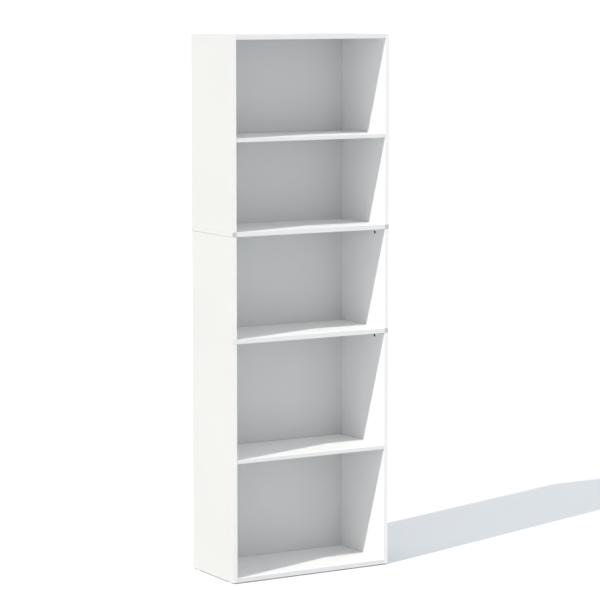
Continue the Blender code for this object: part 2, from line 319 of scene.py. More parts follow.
class BookcaseStage(bpy.types.PropertyGroup):
    floor_color: colour_setting("Floor", "Plain pale floor", (0.845, 0.872, 0.898))
    floor_size: length_setting(
        "Floor Size", "Length of each side of the floor", 4000.0, 10.0, 10000.0
    )
    sun_color: colour_setting("Key Light", "Colour of the key light", (1.0, 0.975, 0.94))
    sun_strength: number_setting("Key Strength", "Strength of the key light", 2.65, 0.0, 20.0)
    sun_angle: number_setting(
        "Key Softness", "Angle that the key light spans, which softens its shadows",
        math.radians(1.0), 0.0, math.radians(60), subtype="ANGLE",
    )
    fill_color: colour_setting(
        "Fill Light", "Colour of the light from all round", (0.96, 0.98, 1.0)
    )
    fill_horizon: number_setting(
        "Fill at the Horizon", "Strength of the light from all round, level with the floor",
        1.02, 0.0, 10.0,
    )
    fill_zenith: number_setting(
        "Fill from Above", "Strength of the light from all round, from overhead", 0.89, 0.0, 10.0
    )
    lens: number_setting("Lens", "Focal length of the camera, in millimetres", 155.68, 10.0, 500.0)


SETTINGS = {
    "bookcase_boards": BookcaseBoards,
    "bookcase_finishes": BookcaseFinishes,
    "bookcase_fittings": BookcaseFittings,
    "bookcase_stage": BookcaseStage,
}


# Materials

WHITE = (1.0, 1.0, 1.0, 1.0)

# The colour setting and the roughness of each foil and band. They are lit and shaded copies of one
# white foil, each lighter or darker for how the light falls on its faces: painted light and shade
FOILS = {
    "shelf_foil": ("shelf_color", 0.46),
    "top_foil": ("top_color", 0.46),
    "backing_foil": ("underside_shade_color", 0.55),
    "inner_foil": ("inner_color", 0.46),
    "outer_foil": ("outer_color", 0.5),
    "side_band": ("band_color", 0.42),
    "shelf_band": ("shelf_band_color", 0.42),
    "joint_band": ("joint_shadow_color", 0.42),
}


def add_node(tree, kind, inputs, **settings):
    """Adds a node, sets it up, and gives each input its value or the socket that drives it."""
    node = tree.nodes.new(kind)
    for name, value in settings.items():
        setattr(node, name, value)
    for name, value in inputs.items():
        if isinstance(value, bpy.types.NodeSocket):
            tree.links.new(value, node.inputs[name])
        else:
            node.inputs[name].default_value = value
    return node


def shade(colour, factor):
    return (*(min(1.0, channel * factor) for channel in colour), 1.0)


def place_on(tree, stretch=None):
    """Object coordinates, stretched along each axis where a stretch is given."""
    place = tree.nodes.new("ShaderNodeTexCoord").outputs["Object"]
    if stretch is None:
        return place
    return add_node(tree, "ShaderNodeMapping", {"Vector": place, "Scale": stretch}).outputs[0]


def noise(tree, place, scale, detail=2.0):
    inputs = {"Vector": place, "Scale": scale, "Detail": detail}
    return add_node(tree, "ShaderNodeTexNoise", inputs).outputs[0]


def ramp(tree, factor, *stops):
    """A colour ramp through (position, colour) stops."""
    node = add_node(tree, "ShaderNodeValToRGB", {"Fac": factor})
    elements = node.color_ramp.elements
    while len(elements) < len(stops):
        elements.new(0.5)
    for element, (position, colour) in zip(elements, stops):
        element.position = position
        element.color = colour
    return node.outputs[0]


def mottled(tree, factor, colour, dark, light):
    """The colour, from a darker to a lighter shade of itself as the factor rises."""
    return ramp(tree, factor, (0.3, shade(colour, dark)), (0.7, shade(colour, light)))


def marked(tree, base, factor, dark, low=0.3, high=0.7):
    """The base colour, multiplied by a darker one where the factor is low."""
    marks = ramp(tree, factor, (low, (*dark, 1.0)), (high, WHITE))
    mix = {0: 1.0, 6: base, 7: marks}
    return add_node(tree, "ShaderNodeMix", mix, data_type="RGBA", blend_type="MULTIPLY").outputs[2]


def ranged(tree, factor, low, high, source=(0.3, 0.7)):
    inputs = {
        "Value": factor,
        "From Min": source[0],
        "From Max": source[1],
        "To Min": low,
        "To Max": high,
    }
    return add_node(tree, "ShaderNodeMapRange", inputs).outputs[0]


def material(name, build, specular=0.5, metallic=0.0, stretch=None):
    """The material of that name. The first time, build gives its colour, roughness and bump."""
    found = bpy.data.materials.get(name)
    if found:
        return found
    made = bpy.data.materials.new(name)
    made.use_nodes = True
    tree = made.node_tree
    shader = tree.nodes["Principled BSDF"]
    shader.inputs["Specular IOR Level"].default_value = specular
    shader.inputs["Metallic"].default_value = metallic
    colour, roughness, height, depth = build(tree, place_on(tree, stretch))
    tree.links.new(colour, shader.inputs["Base Color"])
    tree.links.new(roughness, shader.inputs["Roughness"])
    bump = add_node(tree, "ShaderNodeBump", {"Height": height, "Strength": 1.0, "Distance": depth})
    tree.links.new(bump.outputs[0], shader.inputs["Normal"])
    return made


def foil(name):
    """Pressed white foil: even, faintly mottled, with the fine pearl of a press plate. Its colour
    is one of the lit or shaded copies, which are painted light and shade.
    """
    setting, roughness = FOILS[name]
    colour = getattr(bpy.context.scene.bookcase_finishes, setting)

    def build(tree, place):
        base = mottled(tree, noise(tree, place, 3.0, 3.0), colour, 0.985, 1.01)
        tone = marked(tree, base, noise(tree, place, 420.0, 3.0), (0.975, 0.975, 0.975))
        rough = ranged(tree, noise(tree, place, 24.0), roughness - 0.05, roughness + 0.05)
        return tone, rough, noise(tree, place, 900.0, 1.0), 0.00002

    return material(name, build, specular=0.4)


def chipboard():
    """Bare chipboard: flakes of a few tones, pressed flat."""
    colour = bpy.context.scene.bookcase_finishes.core_color

    def build(tree, place):
        flakes = add_node(tree, "ShaderNodeTexVoronoi", {"Vector": place, "Scale": 620.0})
        flake = add_node(tree, "ShaderNodeSeparateColor", {"Color": flakes.outputs["Color"]})
        fibre = noise(tree, place, 2600.0, 3.0)
        stops = ((0.0, 0.55), (0.45, 1.0), (1.0, 1.45))
        tones = ramp(tree, flake.outputs[0], *((at, shade(colour, by)) for at, by in stops))
        tone = marked(tree, tones, fibre, (0.8, 0.78, 0.75))
        return tone, ranged(tree, fibre, 0.8, 0.95), flakes.outputs["Distance"], 0.00025

    return material("chipboard", build, specular=0.2, stretch=(1.0, 0.6, 1.0))


def back_lacquer():
    """White lacquer rolled on hardboard, with the roller's fine stipple."""
    colour = bpy.context.scene.bookcase_finishes.back_color

    def build(tree, place):
        broad = noise(tree, place_on(tree, (1.0, 1.0, 0.35)), 5.0, 3.0)
        stipple = noise(tree, place, 380.0, 3.0)
        base = mottled(tree, broad, colour, 0.98, 1.015)
        tone = marked(tree, base, stipple, (0.96, 0.962, 0.965), high=0.65)
        return tone, ranged(tree, stipple, 0.55, 0.66), stipple, 0.00005

    return material("back_lacquer", build, specular=0.3)


def bare_hardboard():
    """The rear of hardboard: pressed brown fibre with the print of a wire screen."""
    colour = bpy.context.scene.bookcase_finishes.hardboard_color

    def build(tree, place):
        fibre = noise(tree, place_on(tree, (1.0, 1.0, 0.3)), 900.0, 4.0)
        base = mottled(tree, noise(tree, place, 14.0, 4.0), colour, 0.88, 1.12)
        waves = {"Vector": place, "Scale": 130.0, "Distortion": 0.6, "Detail": 1.0}
        across, up = (
            add_node(tree, "ShaderNodeTexWave", waves, bands_direction=axis).outputs[1]
            for axis in "XZ"
        )
        wires = add_node(tree, "ShaderNodeMath", {0: across, 1: up}, operation="MULTIPLY")
        screen = wires.outputs[0]
        fibrous = marked(tree, base, fibre, (0.62, 0.58, 0.54), 0.32, 0.62)
        tone = marked(tree, fibrous, screen, (0.82, 0.8, 0.78), 0.0, 0.6)
        return tone, ranged(tree, fibre, 0.74, 0.9), screen, 0.00022

    return material("bare_hardboard", build, specular=0.15)


def cast_zinc():
    """Blackened cast zinc with a dull, slightly grainy skin."""
    colour = bpy.context.scene.bookcase_fittings.cam_color

    def build(tree, place):
        grain = noise(tree, place, 1400.0, 3.0)
        tone = mottled(tree, noise(tree, place, 260.0), colour, 0.7, 1.5)
        return tone, ranged(tree, grain, 0.5, 0.68), grain, 0.00004

    return material("cast_zinc", build, specular=0.25, metallic=0.3)


def plated_steel():
    """Bright plated steel with fine tool marks."""
    colour = bpy.context.scene.bookcase_fittings.steel_color

    def build(tree, place):
        marks = noise(tree, place, 2200.0)
        tone = mottled(tree, noise(tree, place, 300.0, 3.0), colour, 0.86, 1.1)
        return tone, ranged(tree, marks, 0.26, 0.42), marks, 0.00001

    return material("plated_steel", build, metallic=1.0)


def nylon(name, colour, roughness):
    """Moulded nylon with a faint milky variation and a fine mould texture."""

    def build(tree, place):
        skin = noise(tree, place, 1800.0)
        tone = mottled(tree, noise(tree, place, 160.0), colour, 0.95, 1.03)
        return tone, ranged(tree, skin, roughness - 0.05, roughness + 0.06), skin, 0.00001

    return material(name, build)


def pin_nylon():
    return nylon("pin_nylon", bpy.context.scene.bookcase_fittings.pin_color, 0.34)


def white_nylon():
    return nylon("white_nylon", bpy.context.scene.bookcase_fittings.glide_color, 0.48)


def pale_floor():
    """A plain pale floor, matt and barely mottled."""
    colour = bpy.context.scene.bookcase_stage.floor_color

    def build(tree, place):
        broad = noise(tree, place, 0.8)
        tone = mottled(tree, broad, colour, 0.997, 1.003)
        return tone, ranged(tree, broad, 0.8, 0.9), broad, 0.00001

    return material("pale_floor", build, specular=0.1)


# Meshes and objects


def box_between(low, high):
    """A block between two opposite corners."""
    low = Vector(low)
    high = Vector(high)
    bm = bmesh.new()
    stretch = Matrix.Diagonal((*(high - low), 1.0))
    bmesh.ops.create_cube(bm, size=1.0, matrix=Matrix.Translation((low + high) / 2) @ stretch)
    return bm


def edges_on(bm, *planes):
    """The edges that lie in every one of the planes, each an (axis, place) pair."""
    return [
        edge
        for edge in bm.edges
        if all(abs(vert.co[axis] - place) < NEAR for axis, place in planes for vert in edge.verts)
    ]


def rounded(bm, edges, radius, segments):
    bmesh.ops.bevel(
        bm,
        geom=edges,
        offset=radius,
        offset_type="OFFSET",
        segments=segments,
        profile=0.5,
        affect="EDGES",
        material=-1,
        clamp_overlap=True,
    )


def square_edges(bm):
    """The long edges where two faces meet squarely."""
    return [
        edge
        for edge in bm.edges
        if edge.is_manifold
        and edge.calc_face_angle() > SQUARE_ANGLE
        and edge.calc_length() > SHORT_EDGE
    ]


def shade_corners(bm):
    """Rounded corners shade smooth, and the square faces between them stay flat."""
    for face in bm.faces:
        face.smooth = max(abs(part) for part in face.normal) < FLAT


def mesh_from(bm, name, materials):
    mesh = bpy.data.meshes.new(name)
    bm.to_mesh(mesh)
    bm.free()
    for each in materials:
        mesh.materials.append(each)
    return mesh


def add_rod(bm, start, end, radius, sides):
    """A closed cylinder from start to end, smooth round and flat at its ends."""
    start = Vector(start)
    end = Vector(end)
    turn = (end - start).to_track_quat("Z", "Y").to_matrix().to_4x4()
    made = bmesh.ops.create_cone(
        bm,
        cap_ends=True,
        segments=sides,
        radius1=radius,
        radius2=radius,
        depth=(end - start).length,
        matrix=Matrix.Translation((start + end) / 2) @ turn,
    )
    for face in {face for vert in made["verts"] for face in vert.link_faces}:
        face.smooth = len(face.verts) == 4


def add_object(name, data):
    obj = bpy.data.objects.new(name, data)
    bpy.context.scene.collection.objects.link(obj)
    return obj


def with_cuts(mesh, cutters):
    """The mesh with each cutter's shape taken out of it, one cutter after another."""
    blank = add_object(mesh.name, mesh)
    helpers = [blank]
    for number, cutter in enumerate(cutters):
        helper = add_object(f"cut_{number}", cutter)
        helpers.append(helper)
        modifier = blank.modifiers.new(helper.name, "BOOLEAN")
        modifier.operation = "DIFFERENCE"
        modifier.solver = "EXACT"
        modifier.material_mode = "TRANSFER"
        modifier.object = helper
    graph = bpy.context.evaluated_depsgraph_get()
    result = bpy.data.meshes.new_from_object(blank.evaluated_get(graph))
    if len(result.polygons) <= len(mesh.polygons):
        raise RuntimeError(f"nothing was cut out of {mesh.name}")
    for helper in helpers:
        bpy.data.objects.remove(helper)
    bm = bmesh.new()
    bm.from_mesh(result)
    bmesh.ops.remove_doubles(bm, verts=bm.verts, dist=NEAR)
    bmesh.ops.dissolve_degenerate(bm, edges=bm.edges, dist=NEAR)
    bm.to_mesh(result)
    bm.free()
    return result


def bores_mesh(bores):
    """One cutter for (mouth, way in, depth, radius) bores that keep clear of each other."""
    bm = bmesh.new()
    for mouth, inwards, depth, radius in bores:
        mouth = Vector(mouth)
        inwards = Vector(inwards)
        add_rod(bm, mouth - inwards * DRILL_START, mouth + inwards * depth, radius, BORE_SIDES)
    return mesh_from(bm, "bores", [chipboard()])


def turned(profile, sides=TURNED_SIDES):
    """A closed shape turned about Z from (radius, height) points, from the axis back to it."""
    bm = bmesh.new()
    points = [bm.verts.new((radius, 0.0, height)) for radius, height in profile]
    edges = [bm.edges.new(pair) for pair in zip(points, points[1:])]
    bmesh.ops.spin(
        bm,
        geom=points + edges,
        axis=UP,
        cent=(0.0, 0.0, 0.0),
        angle=math.tau,
        steps=sides,
        use_merge=True,
    )
    bmesh.ops.remove_doubles(bm, verts=bm.verts, dist=WELD)
    bmesh.ops.recalc_face_normals(bm, faces=bm.faces)
    return bm


def smooth_round(mesh):
    """The mesh, smooth all round but for its sharp rims."""
    mesh.shade_smooth()
    mesh.set_sharp_from_angle(angle=SMOOTH_ANGLE)
    return mesh


def arc(centre, radius, start, end, steps):
    """Points of an arc in the (radius, height) plane, between two angles in degrees."""
    angles = [math.radians(start + (end - start) * step / steps) for step in range(steps + 1)]
    return [(centre[0] + radius * math.cos(a), centre[1] + radius * math.sin(a)) for a in angles]


def turned_to(place_at, along_z, along_x):
    """A placement whose own Z and X axes point along two given directions."""
    along_z = Vector(along_z)
    along_x = Vector(along_x)
    turn = Matrix((along_x, along_z.cross(along_x), along_z)).transposed()
    return Matrix.Translation(place_at) @ turn.to_4x4()


def finished(name, mesh, body, slot, *nodes):
    """A piece that rides on a body and stands for these nodes. The slot is not used."""
    mesh.name = name
    obj = add_object(name, mesh)
    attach(obj, body)
    if nodes:
        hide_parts(*nodes)


def fitted(template, node, matrix, kind, slot):
    """A copy of a fitting's mesh in place of its node."""
    mesh = template.copy()
    mesh.transform(matrix)
    finished(f"{node}_{kind}", mesh, BODY_OF[node], slot, node)


def gathered(name, template, matrices, slot):
    """One piece made of many copies of a small mesh."""
    bm = bmesh.new()
    for matrix in matrices:
        copy = template.copy()
        copy.transform(matrix)
        bm.from_mesh(copy)
    finished(name, mesh_from(bm, name, template.materials), "case", slot)


def middle_of(node):
    low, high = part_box(node)
    return (low + high) / 2


# Boards


def board(node, span, thickness, second_side, foils, trims, softened=(), groups=()):
    """A board in place of a node, with rounded edges, foil on its faces, bare edges and its holes.

    Thickness is an axis, and the second foil is on the face towards the second side. Trims are
    (axis, low side?) pairs where the board is set back behind an edge band, and softened are
    (planes, radius) pairs. Each group's bores keep clear of each other.
    """
    boards = bpy.context.scene.bookcase_boards
    low, high = span
    setback = boards.band_thickness + boards.band_gap
    for axis, at_low in trims:
        if at_low:
            low[axis] += setback
        else:
            high[axis] -= setback
    bm = box_between(low, high)
    for planes, radius in softened:
        rounded(bm, edges_on(bm, *planes), radius, ROUND_STEPS)
    rounded(bm, square_edges(bm), boards.edge_radius, BEVEL_STEPS)
    shade_corners(bm)
    for face in bm.faces:
        facing = face.normal[thickness]
        if abs(facing) < EDGE_ON:
            face.material_index = len(foils)
        elif facing * second_side > 0.0:
            face.material_index = 1
    mesh = mesh_from(bm, node, [*map(foil, foils), chipboard()])
    if any(groups):
        mesh = with_cuts(mesh, [bores_mesh(bores) for bores in groups if bores])
    finished(f"{node}_board", mesh, BODY_OF[node], "white_board", node)


def closed_span(side_name, section):
    """A side section's corners, with its joints closed to a hairline, but for the open seam."""
    low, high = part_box(f"{side_name}_side_{section}")
    closing = TOUCH - bpy.context.scene.bookcase_boards.joint_gap
    if section in FIXED_BELOW:
        low.z -= closing
    if section in FIXED_ABOVE and FIXED_ABOVE[section] != OPEN_SEAM:
        high.z += closing
    return low, high


def bore(mouth, inwards, depth, radius):
    """A hole a little deeper and wider than the fitting that it takes."""
    return mouth, inwards, depth + DRILL_END_GAP, radius + DRILL_GAP


def entry_bore(mouth, inwards):
    """The way in for a bolt's head, as far as its cam."""
    return mouth, inwards, CAM_SETBACK, BOLT_HEAD + 2 * DRILL_GAP


def pin_places(side_name, section, spare_only=False):
    """Where the pin holes open on a side section's inner face."""
    if section not in LOOSE_OF:
        return []
    inner = inner_plane(side_name, section)
    below, above = BAY_OF[section]
    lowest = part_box(below)[1].z + PIN_COLLAR_RADIUS
    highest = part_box(above)[0].z - PIN_COLLAR_RADIUS
    places = []
    for row in ROWS:
        low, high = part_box(f"pin_{LOOSE_OF[section]}_{side_name}_{row}")
        own = low.z + PIN_COLLAR_RADIUS
        for step in (-1, 0, 1):
            height = own + step * PIN_PITCH
            if lowest < height < highest and not (spare_only and step == 0):
                places.append(Vector((inner, (low.y + high.y) / 2, height)))
    return places


def inner_plane(side_name, section):
    low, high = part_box(f"{side_name}_side_{section}")
    return high.x if SIDES[side_name] < 0 else low.x


def side_bores(side_name, section):
    """A side section's holes: those that keep clear of each other, and those that meet a cam's."""
    low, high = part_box(f"{side_name}_side_{section}")
    inner = inner_plane(side_name, section)
    outwards = (SIDES[side_name], 0.0, 0.0)
    apart = []
    entries = []
    for row in ROWS:
        if section in FIXED_ABOVE:
            label = f"{FIXED_ABOVE[section]}_{side_name}_{row}"
            cam = middle_of(f"cam_{label}")
            bolt = middle_of(f"bolt_{label}")
            apart.append(bore((inner, cam.y, cam.z), outwards, CAM_DEPTH, CAM_RADIUS))
            entries.append(entry_bore((bolt.x, bolt.y, high.z), DOWN))
        if section in FIXED_BELOW:
            bolt = middle_of(f"bolt_{FIXED_BELOW[section]}_{side_name}_{row}")
            apart.append(bore((bolt.x, bolt.y, low.z), UP, BOLT_THREAD, BOLT_SHANK))
        if section in PANEL_OF:
            bolt = middle_of(f"bolt_{PANEL_OF[section]}_{side_name}_{row}")
            apart.append(bore((inner, bolt.y, bolt.z), outwards, BOLT_THREAD, BOLT_SHANK))
        if section == "lower":
            glide = middle_of(f"glide_{side_name}_{row}")
            apart.append(bore((glide.x, glide.y, low.z), UP, GLIDE_STEM_LENGTH, GLIDE_STEM))
    for place in pin_places(side_name, section):
        apart.append(bore(place, outwards, PIN_SPIGOT, PIN_SPIGOT_RADIUS))
    return apart, entries


def edge_strip(name, low, high, face_axis, face_place, finish, body="case"):
    """An edge band: a thin strip with rounded corners on its outer face."""
    boards = bpy.context.scene.bookcase_boards
    bm = box_between(low, high)
    radius = min(boards.band_radius, boards.band_thickness * BAND_ROUNDING)
    rounded(bm, edges_on(bm, (face_axis, face_place)), radius, ROUND_STEPS)
    shade_corners(bm)
    finished(name, mesh_from(bm, name, [foil(finish)]), body, "white_board")


class BOOKCASE_OT_side_sections(bpy.types.Operator):
    """Build the three boards of each side, with their holes"""

    bl_idname = "bookcase.side_sections"
    bl_label = "Side Sections"

    def execute(self, context):
        radius = context.scene.bookcase_boards.joint_radius
        for side_name, side in SIDES.items():
            for section in SECTIONS:
                low, high = closed_span(side_name, section)
                outer = high.x if side > 0 else low.x
                softened = []
                trims = [(Y, True)]
                if section in FIXED_ABOVE:
                    softened.append((((X, outer), (Z, high.z)), radius))
                else:
                    trims.append((Z, False))
                if section in FIXED_BELOW:
                    softened.append((((X, outer), (Z, low.z)), radius))
                node = f"{side_name}_side_{section}"
                # Lighter inner and darker outer copies of the foil: painted light and shade
                foils = ("inner_foil", "outer_foil")
                bores = side_bores(side_name, section)
                board(node, (low, high), X, side, foils, trims, softened, bores)
        return {"FINISHED"}


class BOOKCASE_OT_end_panels(bpy.types.Operator):
    """Build the top and bottom panels that stand between the sides"""

    bl_idname = "bookcase.end_panels"
    bl_label = "End Panels"

    def execute(self, context):
        for panel in END_PANELS:
            low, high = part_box(panel)
            cams = []
            entries = []
            for side_name, side, row in CORNERS:
                label = f"{panel}_{side_name}_{row}"
                cam = middle_of(f"cam_{label}")
                bolt = middle_of(f"bolt_{label}")
                end = high.x if side > 0 else low.x
                cams.append(bore((cam.x, cam.y, low.z), UP, CAM_DEPTH, CAM_RADIUS))
                entries.append(entry_bore((end, bolt.y, bolt.z), (-side, 0.0, 0.0)))
            # The top takes a darker copy of the foil, the bottom panel a brighter one and the
            # undersides a grey one: painted light and shade
            foils = ("top_foil" if panel == "top_panel" else "shelf_foil", "backing_foil")
            board(panel, (low, high), Z, -1, foils, [(Y, True)], groups=(cams, entries))
        return {"FINISHED"}


class BOOKCASE_OT_fixed_shelves(bpy.types.Operator):
    """Build the two shelves that lie right across, between the side sections"""

    bl_idname = "bookcase.fixed_shelves"
    bl_label = "Fixed Shelves"

    def execute(self, context):
        for shelf in FIXED_SHELVES:
            low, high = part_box(shelf)
            through = high.z - low.z + DRILL_START
            bores = []
            for side_name, _, row in CORNERS:
                bolt = middle_of(f"bolt_{shelf}_{side_name}_{row}")
                mouth = (bolt.x, bolt.y, low.z)
                bores.append((mouth, UP, through, BOLT_SHANK + DRILL_GAP))
            foils = ("shelf_foil", "backing_foil")
            trims = [(Y, True), (X, True), (X, False)]
            board(shelf, (low, high), Z, -1, foils, trims, groups=(bores,))
        return {"FINISHED"}


class BOOKCASE_OT_adjustable_shelves(bpy.types.Operator):
    """Build the two loose shelves that rest on pins"""

    bl_idname = "bookcase.adjustable_shelves"
    bl_label = "Adjustable Shelves"

    def execute(self, context):
        for shelf in LOOSE_SHELVES:
            foils = ("shelf_foil", "backing_foil")
            board(shelf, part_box(shelf), Z, -1, foils, [(Y, True)])
        return {"FINISHED"}


class BOOKCASE_OT_edge_bands(bpy.types.Operator):
    """Band the boards' front edges, the fixed shelves' ends and the tops of the sides"""

    bl_idname = "bookcase.edge_bands"
    bl_label = "Edge Bands"

    def execute(self, context):
        boards = context.scene.bookcase_boards
        thick = boards.band_thickness
        setback = thick + boards.band_gap
        for side_name in SIDES:
            for section in SECTIONS:
                low, high = closed_span(side_name, section)
                name = f"{side_name}_side_{section}_front_band"
                edge_strip(name, low, (high.x, low.y + thick, high.z), Y, low.y, "side_band")
        for node in (*END_PANELS, *LOOSE_SHELVES):
            low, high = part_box(node)
            last = (high.x, low.y + thick, high.z)
            name = f"{node}_front_band"
            edge_strip(name, low, last, Y, low.y, "shelf_band", body=BODY_OF[node])
        for shelf in FIXED_SHELVES:
            low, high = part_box(shelf)
            lift = boards.seam_height if shelf == OPEN_SEAM else 0.0
            inner = inner_plane("right", "middle")
            stops = (low.x, -inner, inner, high.x)
            labels = (f"{shelf}_left", shelf, f"{shelf}_right")
            for label, first, last in zip(labels, stops, stops[1:]):
                # The other crossings get the grey joint band, which is a painted shadow
                finish = "shelf_band" if label in (shelf, PLAIN_CROSSING) else "joint_band"
                corners = (first, low.y, low.z), (last, low.y + thick, high.z)
                edge_strip(f"{label}_front_band", *corners, Y, low.y, finish)
            ends = {"left": (low.x, low.x + thick), "right": (high.x - thick, high.x)}
            for side_name, (first, last) in ends.items():
                outer = first if side_name == "left" else last
                corners = (first, low.y + setback, low.z + lift), (last, high.y, high.z)
                edge_strip(f"{shelf}_{side_name}_band", *corners, X, outer, "outer_foil")
        for side_name in SIDES:
            low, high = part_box(f"{side_name}_side_upper")
            first = (low.x, low.y + setback, high.z - thick)
            edge_strip(f"{side_name}_side_upper_top_band", first, high, Z, high.z, "top_foil")
        return {"FINISHED"}


# Back


def spread(first, last, spacing):
    """Evenly spread places from first to last, at most that far apart."""
    count = max(1, math.ceil((last - first) / spacing))
    return [first + (last - first) * step / count for step in range(count + 1)]


def nail_places(section):
    """(x, z) of each nail of one back sheet: up its two sides and along its ends.

    Where two sheets meet on one shelf, they share its edge.
    """
    spacing = bpy.context.scene.bookcase_fittings.nail_spacing
    low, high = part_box(f"back_sheet_{section}")
    side = BOARD / 2
    shared = BOARD / 4
    bottom = low.z + (side if section == "lower" else shared)
    top = high.z - (side if section == "upper" else shared)
    places = []
    for z in spread(bottom, top, spacing):
        places += [(low.x + side, z), (high.x - side, z)]
    for x in spread(low.x + side, high.x - side, spacing)[1:-1]:
        places += [(x, bottom), (x, top)]
    return places


class BOOKCASE_OT_back_sheets(bpy.types.Operator):
    """Build the hardboard sheets, white in front and bare behind, with a dimple for each nail"""

    bl_idname = "bookcase.back_sheets"
    bl_label = "Back Sheets"

    def execute(self, context):
        head = context.scene.bookcase_fittings.nail_head
        for section in SECTIONS:
            node = f"back_sheet_{section}"
            low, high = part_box(node)
            bm = box_between(low, high)
            rounded(bm, square_edges(bm), context.scene.bookcase_boards.edge_radius, BEVEL_STEPS)
            shade_corners(bm)
            for face in bm.faces:
                face.material_index = 1 if face.normal.y > FLAT else 0
            mesh = mesh_from(bm, node, [back_lacquer(), bare_hardboard()])
            cutter = bmesh.new()
            for x, z in nail_places(section):
                start = (x, high.y + DRILL_START, z)
                end = (x, high.y - DIMPLE_DEPTH, z)
                add_rod(cutter, start, end, head + DIMPLE_GAP, TURNED_SIDES)
            dimples = mesh_from(cutter, "dimples", [bare_hardboard()])
            mesh = with_cuts(mesh, [dimples])
            finished(f"{node}_panel", mesh, "case", "white_back", node)
        return {"FINISHED"}


class BOOKCASE_OT_back_nails(bpy.types.Operator):
    """Drive the nails that hold the back sheets, with domed heads flush in their dimples"""

    bl_idname = "bookcase.back_nails"
    bl_label = "Back Nails"

    def execute(self, context):
        head = context.scene.bookcase_fittings.nail_head
        brim = arc((head - NAIL_ROUNDING, NAIL_BRIM), NAIL_ROUNDING, -90, 60, 3)
        dome = [(head * share, height) for share, height in NAIL_DOME]
        profile = [*NAIL_SHAFT, *brim, *dome]
        nail = smooth_round(mesh_from(turned(profile, NAIL_SIDES), "nail", [plated_steel()]))
        for section in SECTIONS:
            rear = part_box(f"back_sheet_{section}")[1].y
            places = nail_places(section)
            matrices = [turned_to((x, rear, z), REARWARDS, RIGHT) for x, z in places]
            gathered(f"back_nails_{section}", nail, matrices, "bolt")
        return {"FINISHED"}


# Fittings


def cam_drum():
    """A cam lock with its face at Z = 0, looking along +Z, and its bolt on the +X side."""
    fittings = bpy.context.scene.bookcase_fittings
    level = -BOARD / 2
    hollow = BOLT_HEAD + HEAD_GAP
    half_slot = BOLT_WAIST + SLOT_GAP
    reach = CAM_RADIUS + DRILL_START

    bm = bmesh.new()
    add_rod(bm, (0.0, 0.0, -CAM_DEPTH), (0.0, 0.0, 0.0), CAM_RADIUS, DRUM_SIDES)
    rims = edges_on(bm, (Z, 0.0)) + edges_on(bm, (Z, -CAM_DEPTH))
    rounded(bm, rims, DRUM_ROUNDING, ROUND_STEPS)
    drum = mesh_from(bm, "drum", [cast_zinc()])

    inside = bmesh.new()
    bottom = level - BOLT_HEAD - SLOT_GAP
    top = level + BOLT_HEAD + SLOT_GAP
    add_rod(inside, (0.0, 0.0, bottom), (0.0, 0.0, top), hollow, DRUM_SIDES)

    mouth = bmesh.new()
    add_rod(mouth, (0.0, 0.0, level), (-reach, 0.0, level), BOLT_HEAD + DRILL_GAP, TURNED_SIDES)

    slot = bmesh.new()
    floor = level - half_slot
    margin = math.asin(half_slot / hollow)
    corners = [slot.verts.new((0.0, 0.0, floor))]
    for step in range(SLOT_STEPS + 1):
        angle = margin - (math.pi + 2 * margin) * step / SLOT_STEPS
        place = (math.cos(angle) * reach, math.sin(angle) * reach, floor)
        corners.append(slot.verts.new(place))
    sector = slot.faces.new(corners)
    raised = bmesh.ops.extrude_face_region(slot, geom=[sector])["geom"]
    risen = [item for item in raised if isinstance(item, bmesh.types.BMVert)]
    bmesh.ops.translate(slot, verts=risen, vec=(0.0, 0.0, 2 * half_slot))
    bmesh.ops.recalc_face_normals(slot, faces=slot.faces)

    half = fittings.cross_width / 2
    cross = [
        box_between((-x, -y, -fittings.cross_depth), (x, y, DRILL_START))
        for x, y in ((CROSS_ARM, half), (half, CROSS_ARM))
    ]

    arrow = bmesh.new()
    turn = Matrix.Rotation(-math.pi / 2, 4, "Z")
    bmesh.ops.create_cone(
        arrow,
        cap_ends=True,
        segments=3,
        radius1=ARROW_RADIUS,
        radius2=ARROW_RADIUS,
        depth=ARROW_DEPTH,
        matrix=Matrix.Translation((ARROW_PLACE, 0.0, ARROW_LIFT)) @ turn,
    )
    cutters = (inside, mouth, slot, *cross, arrow)
    meshes = [mesh_from(cutter, f"cam_cut_{i}", [cast_zinc()]) for i, cutter in enumerate(cutters)]
    return smooth_round(with_cuts(drum, meshes))


def bolt_rod(passes):
    """A cam bolt along +Z, with its head on the origin and its thread past the given length."""
    pitch = bpy.context.scene.bookcase_fittings.thread_pitch
    corner = BOLT_HEAD * HEAD_ROUNDING
    root = BOLT_SHANK - THREAD_DEPTH
    waist_end = CAM_RADIUS + DRILL_GAP
    end = passes + BOLT_THREAD
    profile = [(0.0, -BOLT_HEAD), (BOLT_CROWN, -BOLT_HEAD)]
    profile += arc((BOLT_HEAD - corner, corner - BOLT_HEAD), corner, -90, 0, 4)
    profile += [
        (BOLT_HEAD, 0.0),
        (BOLT_WAIST, BOLT_WAIST_START),
        (BOLT_WAIST, waist_end),
        (BOLT_SHANK, waist_end + (BOLT_SHANK - BOLT_WAIST)),
        (BOLT_SHANK, passes),
    ]
    for ring in range(int((BOLT_THREAD - BOLT_TIP) / pitch)):
        start = passes + ring * pitch
        radii = (root, root, BOLT_SHANK, BOLT_SHANK)
        profile += [(radius, start + stop * pitch) for radius, stop in zip(radii, THREAD_STOPS)]
    profile += [(BOLT_SHANK, end - BOLT_TIP), (BOLT_SHANK - BOLT_TIP, end), (0.0, end)]
    return smooth_round(mesh_from(turned(profile), "rod", [plated_steel()]))


